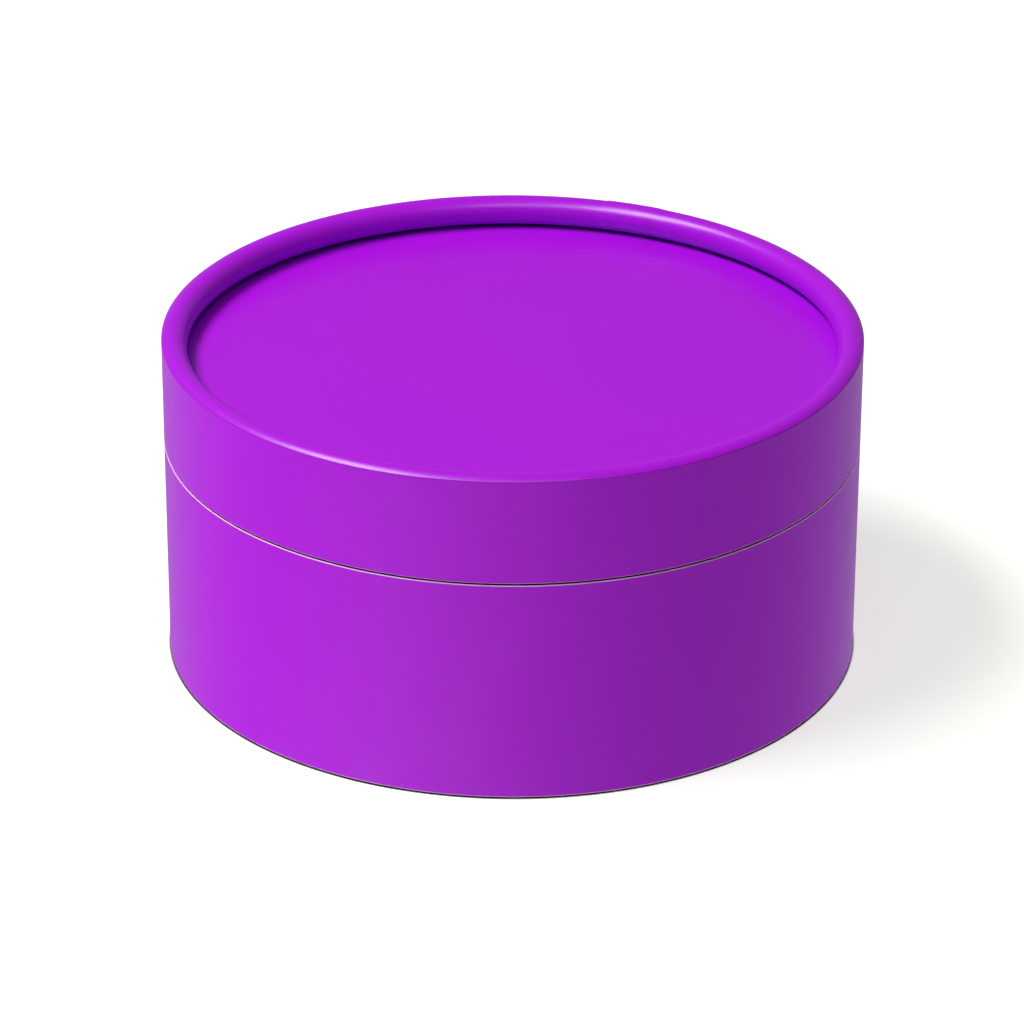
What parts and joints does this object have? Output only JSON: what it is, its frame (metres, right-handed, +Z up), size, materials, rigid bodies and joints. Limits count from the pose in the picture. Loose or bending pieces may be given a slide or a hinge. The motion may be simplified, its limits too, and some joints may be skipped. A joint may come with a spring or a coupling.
{
  "type": "cylindrical gift tube box",
  "caption": "Round paperboard gift box: a straight wrapped base with an inner neck, and a lift-off lid whose rolled rim surrounds a recessed disc.",
  "frame": {"origin": "centre of the base's foot, on the surface that the box stands on", "axes": "+Z up along the tube's axis, the way the lid lifts; +X to the right and -Y towards the viewer of the picture; the wrap's lap is at the back"},
  "size_m": [0.12, 0.12, 0.0588],
  "materials": {
    "purple_wrap": "soft-touch matt laminate on coated art paper",
    "black_board": "board dyed black through, plies faintly visible on cut edges",
    "black_paper": "mass-dyed uncoated lining paper"
  },
  "bodies": {
    "base": {"base_tube": "black_board", "base_wrap": "purple_wrap", "base_disc_board": "black_board", "base_disc_cover": "purple_wrap", "neck_tube": "black_board", "neck_wrap": "black_paper", "neck_lining": "black_paper", "floor_lining": "black_paper"},
    "lid": {"lid_tube": "black_board", "lid_wrap": "purple_wrap", "lid_disc_board": "black_board", "lid_disc_cover": "purple_wrap", "lid_stop_ring": "black_board", "lid_ceiling_lining": "black_paper", "lid_wall_lining": "black_paper"}
  },
  "joints": [
    {"name": "lid_lift", "type": "slide", "parent": "base", "child": "lid", "axis": [0, 0, 1], "range_m": [0, 0.06]}
  ]
}
